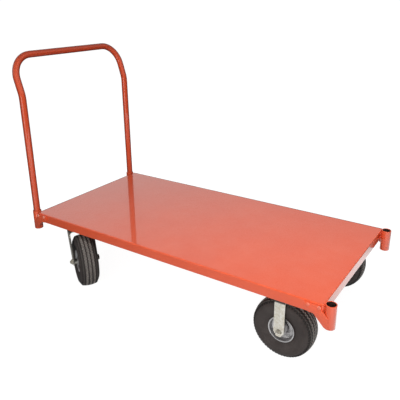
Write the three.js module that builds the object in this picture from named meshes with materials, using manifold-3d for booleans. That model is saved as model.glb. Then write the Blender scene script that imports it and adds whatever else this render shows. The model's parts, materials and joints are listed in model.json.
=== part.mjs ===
// Platform cart: a flat steel deck with a turned-down edge, two rigid and two swivel casters with
// pneumatic tyres, a pipe socket at each corner, and a U-shaped push handle that lifts out of the
// two sockets at one end.
//
// Millimetres. The origin is on the floor under the middle of the cart's overall length.
// +X is the way the cart is pushed (the handle stands at the -X end), +Y is its left, +Z is up.

import * as THREE from 'three';
import { mergeVertices } from 'three/addons/utils/BufferGeometryUtils.js';
import Module from 'manifold-3d';

const wasm = await Module();
wasm.setup();

// ---------------------------------------------------------------- driving dimensions

const GAP = 0.3; // between faces that touch on the real cart

const DECK = { length: 1524, width: 750, top: 316, sheet: 3, edge: 44, bend: 5 };

const PIPE = { radius: 16.7, wall: 3.4 }; // the handle
const HANDLE = { rise: 773, kinkRise: 590, kinkRadius: 150, cornerRadius: 111, lean: THREE.MathUtils.degToRad(16.8) };

const SOCKET = { radius: 21.1, bore: 17.8, rise: 3, drop: 94, floor: 3, drain: 5, inset: 17 };

// Distances along the deck are from its end, and heights from the deck's top or the edge's bottom.
const GUSSET = { thickness: 6, width: 36, start: 72, cornerStart: 54, bendAt: 20, below: 6, above: 2, foot: 40, toe: 14 };

const CHANNEL = { wall: 3, casterWidth: 130, shallowDepth: 18, middleWidth: 60, middleDepth: 34, middleX: 180 };

const WHEEL = { radius: 127, width: 93, facets: 24, rimRadius: 55.2, rimHalf: 38.9, hubHalf: 40, hubRadius: 21 };
const STEM = { radius: 3.8, bore: 1.6, side: 12, hub: 37, knee: 33, tip: 50, tipRadius: 46 };
const AXLE = { radius: 7.9, hole: 8.3, headRadius: 13.5, headHeight: 8, nutHeight: 9, beyond: 14, spacerRadius: 12.5 };

const FORK = { halfGap: 55, wall: 5, bend: 17, width: 44, tail: 19, tailWidth: 16 };
const PLATE = { length: 115, width: 100, rigid: 4, swivel: 5 };
const SWIVEL = { trail: 70, turn: THREE.MathUtils.degToRad(32.5), crownDrop: 2, crownWidth: 66 };
const RACE = { radius: 44, bore: 30 };
const KINGPIN = { radius: 9.6, hole: 10, headRadius: 17, headHeight: 8 };

// From the middle of the deck: the rigid casters' axles and the swivel casters' kingpins.
const RIGID = { x: 591, y: 305 };
const PIVOT = { x: -519, y: 317 };

// ---------------------------------------------------------------- values that follow

const deckUnder = DECK.top - DECK.sheet;
const edgeBottom = DECK.top - DECK.edge;
const socketX = DECK.length / 2 + SOCKET.radius + GAP;
const socketY = DECK.width / 2 - SOCKET.inset;
const handleTopX = -socketX - (HANDLE.rise - HANDLE.kinkRise) * Math.tan(HANDLE.lean);
const frontReach = socketX + SOCKET.radius;
const backReach = handleTopX - PIPE.radius;
const middleX = (frontReach + backReach) / 2; // of the whole cart, measured from the middle of the deck

const paint = { color: 0xd8532f, roughness: 0.22, metalness: 0.0 };
const zinc = { color: 0xc9c6bb, roughness: 0.38, metalness: 0.9 };
const rubber = { color: 0x2b2828, roughness: 0.8, metalness: 0.0 };
const brightSteel = { color: 0xb9bbbd, roughness: 0.3, metalness: 1.0 };

// ---------------------------------------------------------------- solids

function toSolid(geometry) {
  const bare = new THREE.BufferGeometry();
  bare.setAttribute('position', geometry.getAttribute('position'));
  bare.setIndex(geometry.getIndex());
  const welded = mergeVertices(bare, 1e-3);
  const mesh = new wasm.Mesh({
    numProp: 3,
    vertProperties: new Float32Array(welded.getAttribute('position').array),
    triVerts: new Uint32Array(welded.getIndex().array),
  });
  mesh.merge();
  return new wasm.Manifold(mesh);
}

function toGeometry(solid) {
  const mesh = solid.getMesh();
  const geometry = new THREE.BufferGeometry();
  geometry.setAttribute('position', new THREE.BufferAttribute(mesh.vertProperties, 3));
  geometry.setIndex(new THREE.BufferAttribute(mesh.triVerts, 1));
  geometry.computeVertexNormals();
  return geometry;
}

function subtract(base, ...tools) {
  return toGeometry(tools.reduce((solid, tool) => solid.subtract(toSolid(tool)), toSolid(base)));
}

function intersect(first, second) {
  return toGeometry(toSolid(first).intersect(toSolid(second)));
}

function unite(first, second) {
  return toGeometry(toSolid(first).add(toSolid(second)));
}

function outline(points) {
  return new THREE.Shape(points.map(([x, y]) => new THREE.Vector2(x, y)));
}

// A shape drawn in X and Y, from z = low to z = high.
function slab(shape, low, high, curveSegments = 12) {
  const geometry = new THREE.ExtrudeGeometry(shape, { depth: high - low, bevelEnabled: false, curveSegments });
  return geometry.translate(0, 0, low);
}

// A shape drawn in X and Z, thickness along Y and centred on y.
function plateAcrossY(shape, thickness, y = 0, curveSegments = 12) {
  return slab(shape, -thickness / 2, thickness / 2, curveSegments).rotateX(Math.PI / 2).translate(0, y, 0);
}

// A shape drawn in Y and Z, length along X.
function barAlongX(shape, length, curveSegments = 12) {
  return plateAcrossY(shape, length, 0, curveSegments).rotateZ(Math.PI / 2);
}

function box(sizeX, sizeY, low, high) {
  return new THREE.BoxGeometry(sizeX, sizeY, high - low).translate(0, 0, (low + high) / 2);
}

// Points are [radius, height]; the axis is Z.
function turned(points, segments) {
  const profile = [...points, points[0]].map(([r, h]) => new THREE.Vector2(r, h));
  return new THREE.LatheGeometry(profile, segments).rotateX(Math.PI / 2);
}

function washer(inner, outer, low, high, segments) {
  return turned([[inner, low], [outer, low], [outer, high], [inner, high]], segments);
}

function rod(radius, low, high, segments) {
  const geometry = new THREE.CylinderGeometry(radius, radius, high - low, segments);
  return geometry.rotateX(Math.PI / 2).translate(0, 0, (low + high) / 2);
}

// Turns a solid about Z into one about Y.
function axisToY(geometry) {
  return geometry.rotateX(-Math.PI / 2);
}

// A route of straight runs with round corners, one step per point.
class BentRoute extends THREE.Curve {
  constructor(corners, radii, arcSteps) {
    super();
    this.points = [corners[0]];
    for (let i = 1; i < corners.length - 1; i++) {
      this.addCorner(corners[i - 1], corners[i], corners[i + 1], radii[i - 1], arcSteps[i - 1]);
    }
    this.points.push(corners.at(-1));
  }

  addCorner(before, corner, after, radius, steps) {
    const backward = before.clone().sub(corner).normalize();
    const forward = after.clone().sub(corner).normalize();
    const half = backward.angleTo(forward) / 2;
    const inward = backward.clone().add(forward).normalize();
    const centre = corner.clone().addScaledVector(inward, radius / Math.sin(half));
    const sweep = Math.PI / 2 - half;
    const along = forward.clone().sub(backward).normalize();
    for (let i = 0; i <= steps; i++) {
      const angle = sweep * (2 * i / steps - 1);
      const point = centre.clone().addScaledVector(inward, -radius * Math.cos(angle));
      this.points.push(point.addScaledVector(along, radius * Math.sin(angle)));
    }
  }

  get steps() {
    return this.points.length - 1;
  }

  getUtoTmapping(u) {
    return u;
  }

  getPoint(t, target = new THREE.Vector3()) {
    const place = t * this.steps;
    const index = Math.min(Math.floor(place), this.steps - 1);
    return target.copy(this.points[index]).lerp(this.points[index + 1], place - index);
  }
}

function pipeAlong(route, radius, sides, bore = 0, boreSides = sides) {
  const section = new THREE.Shape(circlePoints(radius, sides));
  if (bore > 0) section.holes.push(new THREE.Path(circlePoints(bore, boreSides)));
  return new THREE.ExtrudeGeometry(section, { steps: route.steps, extrudePath: route });
}

function circlePoints(radius, sides) {
  return Array.from({ length: sides }, (_, i) => {
    const angle = (2 * Math.PI * i) / sides;
    return new THREE.Vector2(radius * Math.cos(angle), radius * Math.sin(angle));
  });
}

function addMesh(group, name, geometry, look) {
  const mesh = new THREE.Mesh(geometry, new THREE.MeshStandardMaterial(look));
  mesh.name = name;
  group.add(mesh);
  return mesh;
}

// ---------------------------------------------------------------- deck

// The end view of a folded sheet: flat top, bent edges hanging down.
function foldedSection(halfWidth, top, bottom, bend) {
  const shape = new THREE.Shape();
  shape.moveTo(-halfWidth, bottom);
  shape.lineTo(halfWidth, bottom);
  shape.absarc(halfWidth - bend, top - bend, bend, 0, Math.PI / 2);
  shape.absarc(-halfWidth + bend, top - bend, bend, Math.PI / 2, Math.PI);
  return shape;
}

function foldedBlock(halfLength, halfWidth, top, bottom, bend) {
  const alongX = barAlongX(foldedSection(halfWidth, top, bottom, bend), 2 * halfLength, 4);
  const alongY = plateAcrossY(foldedSection(halfLength, top, bottom, bend), 2 * halfWidth, 0, 4);
  return intersect(alongX, alongY);
}

function deckPan() {
  const halfLength = DECK.length / 2;
  const halfWidth = DECK.width / 2;
  const outside = foldedBlock(halfLength, halfWidth, DECK.top, edgeBottom, DECK.bend);
  const inside = foldedBlock(
    halfLength - DECK.sheet, halfWidth - DECK.sheet, deckUnder, edgeBottom - 10, DECK.bend - DECK.sheet,
  );
  return subtract(outside, inside);
}

// An open-topped channel that runs across the deck and is welded under it.
function crossChannel(width, bottom) {
  const top = deckUnder - GAP;
  const half = width / 2;
  const inner = half - CHANNEL.wall;
  const shape = outline([
    [-half, bottom], [half, bottom], [half, top], [inner, top],
    [inner, bottom + CHANNEL.wall], [-inner, bottom + CHANNEL.wall], [-inner, top], [-half, top],
  ]);
  return plateAcrossY(shape, DECK.width - 2 * DECK.bend - 2 * GAP);
}

function socket() {
  const { radius, bore, rise, drop, floor, drain } = SOCKET;
  const bottom = DECK.top - drop;
  return turned([
    [drain, bottom], [radius, bottom], [radius, DECK.top + rise],
    [bore, DECK.top + rise], [bore, bottom + floor], [drain, bottom + floor],
  ], 20);
}

// A flat bar on the outer face of the deck's edge that bends down to the socket, for the +X, +Y corner.
function gusset() {
  const end = DECK.length / 2;
  const high = DECK.top - GUSSET.below;
  const low = edgeBottom + GUSSET.above;
  const foldX = end - GUSSET.bendAt;
  const drop = socketX - foldX;
  const foot = high - drop - GUSSET.foot;
  const slant = GUSSET.width / Math.SQRT2;
  const shape = outline([
    [end - GUSSET.start, high],
    [foldX, high],
    [socketX, high - drop],
    [socketX, foot],
    [socketX - GUSSET.toe, foot],
    [foldX - 2 * slant + high - low, low],
    [end - GUSSET.cornerStart, low],
    [end - GUSSET.start, low + GUSSET.toe],
  ]);
  const inner = DECK.width / 2 + GAP;
  const bar = plateAcrossY(shape, GUSSET.thickness, inner + GUSSET.thickness / 2);
  const clearOfPipe = rod(SOCKET.radius + GAP, DECK.top - 200, DECK.top + 50, 24).translate(socketX, socketY, 0);
  return subtract(bar, clearOfPipe);
}

function mirrored(geometry, flipX, flipY) {
  const copy = geometry.clone().scale(flipX ? -1 : 1, flipY ? -1 : 1, 1);
  if (flipX !== flipY) {
    const index = copy.getIndex();
    for (let i = 0; i < index.count; i += 3) {
      const first = index.getX(i);
      index.setX(i, index.getX(i + 1));
      index.setX(i + 1, first);
    }
  }
  copy.computeVertexNormals();
  return copy;
}

function addDeck(cart) {
  addMesh(cart, 'deck_pan', deckPan(), paint);
  const deepBottom = edgeBottom + 1 + GAP;
  const channels = {
    front_cross_channel: [RIGID.x, CHANNEL.casterWidth, deepBottom],
    front_middle_channel: [CHANNEL.middleX, CHANNEL.middleWidth, deckUnder - CHANNEL.middleDepth],
    rear_middle_channel: [-CHANNEL.middleX, CHANNEL.middleWidth, deckUnder - CHANNEL.middleDepth],
    rear_cross_channel: [PIVOT.x, CHANNEL.casterWidth, deckUnder - CHANNEL.shallowDepth],
  };
  for (const [name, [x, width, bottom]] of Object.entries(channels)) {
    addMesh(cart, name, crossChannel(width, bottom), paint).position.x = x;
  }
  const corner = gusset();
  for (const [end, toFront] of [['front', true], ['rear', false]]) {
    for (const [side, toLeft] of [['left', true], ['right', false]]) {
      const tube = addMesh(cart, `${end}_${side}_socket`, socket(), paint);
      tube.position.set(toFront ? socketX : -socketX, toLeft ? socketY : -socketY, 0);
      addMesh(cart, `${end}_${side}_gusset`, mirrored(corner, !toFront, !toLeft), paint);
    }
  }
}

// ---------------------------------------------------------------- handle

function pushHandle() {
  const foot = DECK.top - SOCKET.drop + SOCKET.floor + GAP;
  const kink = DECK.top + HANDLE.kinkRise;
  const top = DECK.top + HANDLE.rise;
  const rightLeg = [
    new THREE.Vector3(-socketX, -socketY, foot),
    new THREE.Vector3(-socketX, -socketY, kink),
    new THREE.Vector3(handleTopX, -socketY, top),
  ];
  const leftLeg = rightLeg.map((point) => point.clone().setY(socketY)).reverse();
  const { kinkRadius, cornerRadius } = HANDLE;
  const route = new BentRoute(
    [...rightLeg, ...leftLeg], [kinkRadius, cornerRadius, cornerRadius, kinkRadius], [3, 8, 8, 3],
  );
  return pipeAlong(route, PIPE.radius, 12, PIPE.radius - PIPE.wall, 8);
}

// ---------------------------------------------------------------- wheels

// Wheel pieces are turned about the axle, which lies along Y through the wheel's centre.
// A flat of the many-sided tread faces the floor.
function tyre() {
  const crown = WHEEL.radius / Math.cos(Math.PI / WHEEL.facets);
  const half = WHEEL.width / 2;
  const outside = [[51, 33.4], [57, 34], [60.5, 38], [82, half - 1.5], [104, half], [121, half - 11]];
  const inside = [[115.5, 24], [97, 39], [60, 27], [51, 25]];
  const leftHalf = [[crown, 17], ...outside.toReversed(), ...inside.toReversed()];
  const rightHalf = leftHalf.toReversed().map(([r, h]) => [r, -h]);
  const body = turned([...leftHalf, ...rightHalf], WHEEL.facets);
  return axisToY(body.rotateZ(Math.PI / WHEEL.facets));
}

function stemRoute(innerEnd, extra) {
  const at = (r, h) => new THREE.Vector3(r, 0, h);
  const lean = at(STEM.tipRadius, STEM.tip).sub(at(STEM.hub, STEM.knee)).normalize();
  const tip = at(STEM.tipRadius, STEM.tip).addScaledVector(lean, extra);
  return new BentRoute([at(innerEnd, STEM.side), at(STEM.hub, STEM.side), at(STEM.hub, STEM.knee), tip], [7, 7], [3, 2]);
}

// The inner tube and its valve stem are one piece of rubber, hollow from the tube to the stem's tip.
function innerTube() {
  const ring = (grow) => turned([
    [62 - grow, -17], [80, -30 - grow], [101, -29 - grow], [111 + grow, -14],
    [111 + grow, 14], [101, 29 + grow], [80, 30 + grow], [62 - grow, 17],
  ], 12);
  const skin = unite(ring(0), pipeAlong(stemRoute(66, 0), STEM.radius, 7));
  return axisToY(subtract(skin, ring(-2.5), pipeAlong(stemRoute(70, 2), STEM.bore, 5)));
}

function rim() {
  const lip = WHEEL.rimRadius;
  const edge = WHEEL.rimHalf;
  const side = [[50.3, 34], [lip, 36], [lip, edge], [52, edge], [48, 34], [48, 18], [27, 11], [WHEEL.hubRadius, 11]];
  const upper = [...side, [WHEEL.hubRadius, WHEEL.hubHalf], [17.5, WHEEL.hubHalf]];
  const lower = upper.toReversed().map(([r, h]) => [r, -h]);
  const body = turned([...upper, ...lower], 18).rotateZ(Math.PI / 18);
  return axisToY(subtract(body, pipeAlong(stemRoute(60, 0), STEM.radius + 1, 8)));
}

function addWheel(group, prefix, height) {
  const wheel = new THREE.Group();
  wheel.position.z = height;
  group.add(wheel);
  addMesh(wheel, `${prefix}_tyre`, tyre(), rubber);
  addMesh(wheel, `${prefix}_inner_tube`, innerTube(), rubber);
  addMesh(wheel, `${prefix}_rim`, rim(), brightSteel);
  const half = WHEEL.hubHalf;
  addMesh(wheel, `${prefix}_hub_bearing`, axisToY(washer(AXLE.hole, 17, -half, half, 16)), brightSteel);
}

// ---------------------------------------------------------------- casters

// A bent-bar fork: the end view of a U, cut to its side view. The crown's top is at z = crown.
function fork(sideView, crown, axleX, axleZ) {
  const { halfGap, wall, bend } = FORK;
  const outer = halfGap + wall;
  const foot = axleZ - 2 * FORK.tail; // below the cut-off
  const bent = new THREE.Shape();
  bent.moveTo(-outer, foot);
  bent.lineTo(-halfGap, foot);
  bent.absarc(-halfGap + bend - wall, crown - bend, bend - wall, Math.PI, Math.PI / 2, true);
  bent.absarc(halfGap - bend + wall, crown - bend, bend - wall, Math.PI / 2, 0, true);
  bent.lineTo(halfGap, foot);
  bent.lineTo(outer, foot);
  bent.absarc(outer - bend, crown - bend, bend, 0, Math.PI / 2);
  bent.absarc(-outer + bend, crown - bend, bend, Math.PI / 2, Math.PI);
  const folded = barAlongX(bent, 400, 4);
  const cutout = plateAcrossY(sideView, 3 * outer);
  const axleHole = axisToY(rod(AXLE.hole, -2 * outer, 2 * outer, 16)).translate(axleX, 0, axleZ);
  return subtract(intersect(folded, cutout), axleHole);
}

// Both forks end below the axle in the same cut-off point.
function forkTail(axleX, axleZ) {
  const half = FORK.width / 2;
  return [
    [axleX - half, axleZ], [axleX - FORK.tailWidth / 2, axleZ - FORK.tail],
    [axleX + FORK.tailWidth / 2, axleZ - FORK.tail], [axleX + half, axleZ],
  ];
}

function addAxle(group, prefix, x, z) {
  const axle = new THREE.Group();
  axle.position.set(x, 0, z);
  group.add(axle);
  const face = FORK.halfGap + FORK.wall + GAP;
  const end = face + AXLE.beyond;
  const head = rod(AXLE.headRadius, face, face + AXLE.headHeight, 6);
  const bolt = unite(rod(AXLE.radius, -end, face + 1, 16), head);
  addMesh(axle, `${prefix}_axle_bolt`, axisToY(bolt), zinc);
  const nutBody = rod(AXLE.headRadius, -face - AXLE.nutHeight, -face, 6);
  const nut = subtract(nutBody, rod(AXLE.radius + GAP, -end, 0, 16));
  addMesh(axle, `${prefix}_axle_nut`, axisToY(nut), zinc);
  const spacer = () => washer(AXLE.hole, AXLE.spacerRadius, WHEEL.hubHalf + GAP, FORK.halfGap - GAP, 12);
  addMesh(axle, `${prefix}_left_spacer`, axisToY(spacer()), zinc);
  addMesh(axle, `${prefix}_right_spacer`, axisToY(spacer()).rotateZ(Math.PI), zinc);
}

function casterPlate(low, high, holeRadius) {
  const plate = box(PLATE.length, PLATE.width, low, high);
  return holeRadius > 0 ? subtract(plate, rod(holeRadius, low - 1, high + 1, 20)) : plate;
}

function addRigidCaster(cart, prefix, y) {
  const caster = new THREE.Group();
  caster.position.set(RIGID.x, y, 0);
  cart.add(caster);
  const plateTop = edgeBottom + 1;
  const crown = plateTop - PLATE.rigid - GAP;
  const half = FORK.width / 2;
  const sideView = outline([...forkTail(0, WHEEL.radius), [half, crown + 1], [-half, crown + 1]]);
  addMesh(caster, `${prefix}_plate`, casterPlate(plateTop - PLATE.rigid, plateTop, 0), zinc);
  addMesh(caster, `${prefix}_fork`, fork(sideView, crown, 0, WHEEL.radius), zinc);
  addAxle(caster, prefix, 0, WHEEL.radius);
  addWheel(caster, prefix, WHEEL.radius);
}

function addSwivelCaster(cart, prefix, y, turn) {
  const pivot = new THREE.Group();
  pivot.position.set(PIVOT.x, y, 0);
  cart.add(pivot);
  const plateTop = deckUnder - CHANNEL.shallowDepth - GAP;
  const raceTop = plateTop - PLATE.swivel - GAP;
  const crown = edgeBottom - SWIVEL.crownDrop; // low enough for the fork to turn under the deck's edge
  const crownUnder = crown - FORK.wall;
  addMesh(pivot, `${prefix}_plate`, casterPlate(plateTop - PLATE.swivel, plateTop, KINGPIN.hole), zinc);
  const race = washer(RACE.bore, RACE.radius, crown + GAP, raceTop, 16);
  addMesh(pivot, `${prefix}_race_ring`, race, zinc);
  const { radius, headRadius, headHeight } = KINGPIN;
  const headTop = crownUnder - GAP;
  const head = rod(headRadius, headTop - headHeight, headTop, 6);
  addMesh(pivot, `${prefix}_kingpin`, unite(head, rod(radius, headTop - 1, plateTop, 16)), zinc);

  const turning = new THREE.Group();
  turning.rotation.z = turn;
  pivot.add(turning);
  const trail = SWIVEL.trail;
  const half = SWIVEL.crownWidth / 2;
  const sideView = outline([
    ...forkTail(trail, WHEEL.radius), [half + 6, crown - 30], [half, crown + 1], [-half, crown + 1], [-half, crown - 22],
  ]);
  const kingpinHole = rod(KINGPIN.hole, crown - 40, crown + 10, 16);
  addMesh(turning, `${prefix}_fork`, subtract(fork(sideView, crown, trail, WHEEL.radius), kingpinHole), zinc);
  addAxle(turning, prefix, trail, WHEEL.radius);
  const wheelSide = new THREE.Group();
  wheelSide.position.x = trail;
  turning.add(wheelSide);
  addWheel(wheelSide, prefix, WHEEL.radius);
}

// ---------------------------------------------------------------- the cart

const cart = new THREE.Group();
cart.position.x = -middleX;
addDeck(cart);
addMesh(cart, 'push_handle', pushHandle(), paint);
addRigidCaster(cart, 'front_left', RIGID.y);
addRigidCaster(cart, 'front_right', -RIGID.y);
addSwivelCaster(cart, 'rear_left', PIVOT.y, SWIVEL.turn);
addSwivelCaster(cart, 'rear_right', -PIVOT.y, -SWIVEL.turn);

export default cart;
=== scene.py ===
import json
import math

import bmesh
import bpy
from mathutils import Matrix, Vector


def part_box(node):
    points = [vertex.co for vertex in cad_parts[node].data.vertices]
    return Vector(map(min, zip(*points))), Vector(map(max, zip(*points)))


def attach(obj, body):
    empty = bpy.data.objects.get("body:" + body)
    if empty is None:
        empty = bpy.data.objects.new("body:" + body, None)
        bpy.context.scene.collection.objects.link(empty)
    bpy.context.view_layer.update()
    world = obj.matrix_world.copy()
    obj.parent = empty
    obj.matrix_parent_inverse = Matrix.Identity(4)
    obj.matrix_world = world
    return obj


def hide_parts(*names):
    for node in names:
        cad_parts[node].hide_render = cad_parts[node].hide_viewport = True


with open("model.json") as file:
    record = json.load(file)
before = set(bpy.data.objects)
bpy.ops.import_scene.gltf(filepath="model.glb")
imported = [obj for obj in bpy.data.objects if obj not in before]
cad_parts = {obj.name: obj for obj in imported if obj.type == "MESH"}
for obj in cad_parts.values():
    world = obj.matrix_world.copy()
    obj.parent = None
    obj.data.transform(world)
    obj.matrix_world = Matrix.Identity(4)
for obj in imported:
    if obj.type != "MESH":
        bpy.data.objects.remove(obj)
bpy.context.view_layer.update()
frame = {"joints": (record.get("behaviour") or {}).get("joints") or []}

# Platform cart: red enamelled steel deck and push handle, zinc plated casters, pneumatic tyres.
# Metres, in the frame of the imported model: +X is the way the cart is pushed, +Y its left, +Z up.

MM = 0.001

SHEET = 3 * MM  # steel of the deck and its cross channels
FOLD = 5 * MM  # outside radius of the deck's folded edge
DECK_CORNER = 6 * MM  # radius of the deck's corners seen from above
FAR_EDGE_SHADE_WIDTH = 8 * MM  # of the painted shade strips along the deck's rear and left edges, its far edges
CHANNEL_FOLD = 7 * MM

SOCKET_BORE = 17.8 * MM
SOCKET_FLOOR = 3 * MM
SOCKET_DRAIN = 5 * MM
SOCKET_LIP = 1.4 * MM

GUSSET_START = 72 * MM  # from the deck's end
GUSSET_CORNER = 54 * MM
GUSSET_BEND = 20 * MM
GUSSET_WIDTH = 36 * MM
GUSSET_FOOT = 40 * MM
GUSSET_TOE = 14 * MM
GUSSET_BOLTS = (14 * MM, 56 * MM)  # from the deck's end
GUSSET_BOLT_DROP = 12.5 * MM  # below the deck's top
GUSSET_BOLT = {"radius": 7 * MM, "height": 3.6 * MM}

PIPE = 16.7 * MM
PIPE_WALL = 3.4 * MM
HANDLE_KINK = 0.590  # above the deck, where the legs start to lean
HANDLE_KINK_RADIUS = 0.150
HANDLE_CORNER_RADIUS = 0.111

WHEEL = 127 * MM
AXLE = 7.9 * MM
NUT = 13.5 * MM  # corner radius of the axle's nut and bolt head
TREAD_PITCHES = 60
TREAD_DEPTH = 5.2 * MM
TREAD_DROP = 5.1 * MM  # how much lower the tread is at its shoulder than at its middle
TREAD_SHOULDER = 34.5 * MM
RIB_EDGES = ((-32.4, -19.2), (-15.4, -2), (2, 15.4), (19.2, 32.4))  # millimetres from the middle
RIB_ZIGZAG = 2.4 * MM
SHOULDER = 30 * MM  # rib edges farther from the middle are the shoulder's
SHOULDER_ZIGZAG = 1.6 * MM

FORK_GAP = 55 * MM
FORK_WALL = 5 * MM
FORK_BEND = 17 * MM
FORK_WIDTH = 44 * MM
FORK_TAIL = 19 * MM
FORK_TAIL_WIDTH = 16 * MM
FORK_TAIL_RADII = [5 * MM, 3.5 * MM, 3.5 * MM, 5 * MM]
FORK_FACE = FORK_GAP + FORK_WALL + 0.3 * MM  # where the nut and the bolt head rest
SWIVEL_TRAIL = 70 * MM
SWIVEL_CROWN = 66 * MM
KINGPIN_HOLE = 10 * MM

PLATE_CORNER = 9 * MM
PLATE_BOLT_INSET = 11 * MM
PLATE_BOLT = {"radius": 8.2 * MM, "height": 5.2 * MM}

AMBIENT = 0.20  # light from all round, where a lit white sheet is 1

# What the paint mirrors. Each row: from, to, and the brightness at each.
WALLS_UPWARD = (0.1, 0.26, 0.03, 1.0)  # by the direction's Z
CEILING_UPWARD = (0.45, 0.85, 1.0, 0.3)
WALLS_ALONG = (-0.75, -0.25, 1.05, 0.62)  # by the direction's X
FLOOR_ALONG = ((-0.9, 0.4, 0.1, 0.9), (0.75, 1.1, 1.0, 2.2))  # by X on the floor
FLOOR_ACROSS = (0.6, 1.15, 1.0, 0.06)  # by Y on the floor

WINDOW_WAY = (0.23, -0.973)  # the direction of the window that draws a line along the pipes
WINDOW_LIGHT = 3.0
WINDOW_SPREAD = (0.93, 0.965, 0.0, 1.0)  # by the cosine from its direction
WINDOW_TOP = (-0.03, -0.01, 1.0, 0.0)  # by the direction's Z
WINDOW_PATCH = (0.12, 0.24, 1.0, 0.0)  # by the distance from the middle of its patch on the floor
WINDOW_PATCH_X = -0.78
WINDOW_PATCH_END = (-1.3, -1.05, 1.0, 0.0)  # by Y on the floor

CAMERA = {"place": (1.2817, -1.8685, 1.3290), "yaw": 34.14, "pitch": 19.68, "roll": 0.65, "lens": 45.36}


# ---------------------------------------------------------------- camera, floor and light


def add_camera():
    data = bpy.data.cameras.new("camera")
    data.lens = CAMERA["lens"]
    data.sensor_width = 36
    data.shift_y = -0.05
    camera = bpy.data.objects.new("camera", data)
    bpy.context.scene.collection.objects.link(camera)
    yaw = math.radians(CAMERA["yaw"])
    pitch = math.radians(CAMERA["pitch"])
    roll = math.radians(CAMERA["roll"])
    forward = Vector((-math.sin(yaw) * math.cos(pitch), math.cos(yaw) * math.cos(pitch), -math.sin(pitch)))
    level = Vector((math.cos(yaw), math.sin(yaw), 0))
    down = forward.cross(level)
    right = level * math.cos(roll) + down * math.sin(roll)
    up = right.cross(forward)
    turn = Matrix((right, up, -forward)).transposed().to_4x4()
    camera.matrix_world = Matrix.Translation(CAMERA["place"]) @ turn
    bpy.context.scene.camera = camera


def add_node(tree, kind, settings=None, **inputs):
    """A new node. An input is a number, or another node's output to link from."""
    made = tree.nodes.new(kind)
    for name, value in (settings or {}).items():
        setattr(made, name, value)
    for name, value in inputs.items():
        connect(tree, value, made.inputs[name.replace("_", " ")])
    return made


def connect(tree, value, socket):
    if isinstance(value, bpy.types.NodeSocket):
        tree.links.new(value, socket)
    else:
        socket.default_value = value


def calculate(tree, operation, *values):
    made = add_node(tree, "ShaderNodeMath", {"operation": operation})
    for value, socket in zip(values, made.inputs):
        connect(tree, value, socket)
    return made.outputs[0]


def blend_colours(tree, share, first, second):
    made = add_node(tree, "ShaderNodeMix", {"data_type": "RGBA"})
    for value, index in ((share, 0), (first, 6), (second, 7)):
        connect(tree, value, made.inputs[index])
    return made.outputs[2]


def rescale(tree, value, from_low, from_high, to_low, to_high):
    limits = {"From_Min": from_low, "From_Max": from_high, "To_Min": to_low, "To_Max": to_high}
    return add_node(tree, "ShaderNodeMapRange", Value=value, **limits).outputs[0]


def split(tree, vector):
    return add_node(tree, "ShaderNodeSeparateXYZ", Vector=vector).outputs


def stack(tree, surface, share, layer):
    """Lays a shader over a surface by its share."""
    mix = add_node(tree, "ShaderNodeMixShader", Fac=share)
    tree.links.new(surface, mix.inputs[1])
    tree.links.new(layer.outputs[0], mix.inputs[2])
    return mix.outputs[0]


def window_in_wall(tree, way):
    """A tall bright window that ends below the horizon: 1 towards it and 0 elsewhere."""
    aside = calculate(tree, "MULTIPLY", way["X"], WINDOW_WAY[0])
    towards = calculate(tree, "MULTIPLY_ADD", way["Y"], WINDOW_WAY[1], aside)
    beam = rescale(tree, towards, *WINDOW_SPREAD)
    return calculate(tree, "MULTIPLY", beam, rescale(tree, way["Z"], *WINDOW_TOP))


def window_on_floor(tree, place):
    """The light of the same window on the floor, in front of the push handle."""
    slant = -WINDOW_WAY[0] / WINDOW_WAY[1]
    across = calculate(tree, "MULTIPLY_ADD", place["Y"], slant, place["X"])
    away = calculate(tree, "ABSOLUTE", calculate(tree, "SUBTRACT", across, WINDOW_PATCH_X))
    beam = rescale(tree, away, *WINDOW_PATCH)
    return calculate(tree, "MULTIPLY", beam, rescale(tree, place["Y"], *WINDOW_PATCH_END))


def add_room():
    """Dim for the light it gives, bright for what the paint mirrors, and plain white behind the cart."""
    world = bpy.data.worlds.new("studio")
    bpy.context.scene.world = world
    world.use_nodes = True
    tree = world.node_tree
    tree.nodes.clear()
    way = split(tree, add_node(tree, "ShaderNodeTexCoord").outputs["Generated"])
    walls = rescale(tree, way["Z"], *WALLS_UPWARD)
    ceiling = rescale(tree, way["Z"], *CEILING_UPWARD)
    sideways = rescale(tree, way["X"], *WALLS_ALONG)
    path = add_node(tree, "ShaderNodeLightPath").outputs
    mirrored = calculate(tree, "MULTIPLY", calculate(tree, "MULTIPLY", walls, ceiling), sideways)
    mirrored = calculate(tree, "MULTIPLY_ADD", window_in_wall(tree, way), WINDOW_LIGHT, mirrored)
    strength = add_node(tree, "ShaderNodeMix", Factor=path["Is Glossy Ray"])
    connect(tree, AMBIENT, strength.inputs[2])
    connect(tree, mirrored, strength.inputs[3])
    room = add_node(tree, "ShaderNodeBackground", Color=(1.0, 0.99, 0.975, 1), Strength=strength.outputs[0])
    backdrop = add_node(tree, "ShaderNodeBackground", Color=(1, 1, 1, 1), Strength=1.05)
    surface = stack(tree, room.outputs[0], path["Is Camera Ray"], backdrop)
    add_node(tree, "ShaderNodeOutputWorld", Surface=surface)


def add_lamp(name, place, size, power, target, spread=180):
    """A round soft lamp that the paint does not mirror; the spread is in degrees."""
    data = bpy.data.lights.new(name, "AREA")
    data.shape = "DISK"
    data.size = size
    data.energy = power
    data.spread = math.radians(spread)
    lamp = bpy.data.objects.new(name, data)
    bpy.context.scene.collection.objects.link(lamp)
    lamp.location = place
    lamp.visible_glossy = False
    aim = Vector(target) - Vector(place)
    lamp.rotation_euler = aim.to_track_quat("-Z", "Y").to_euler()


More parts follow.
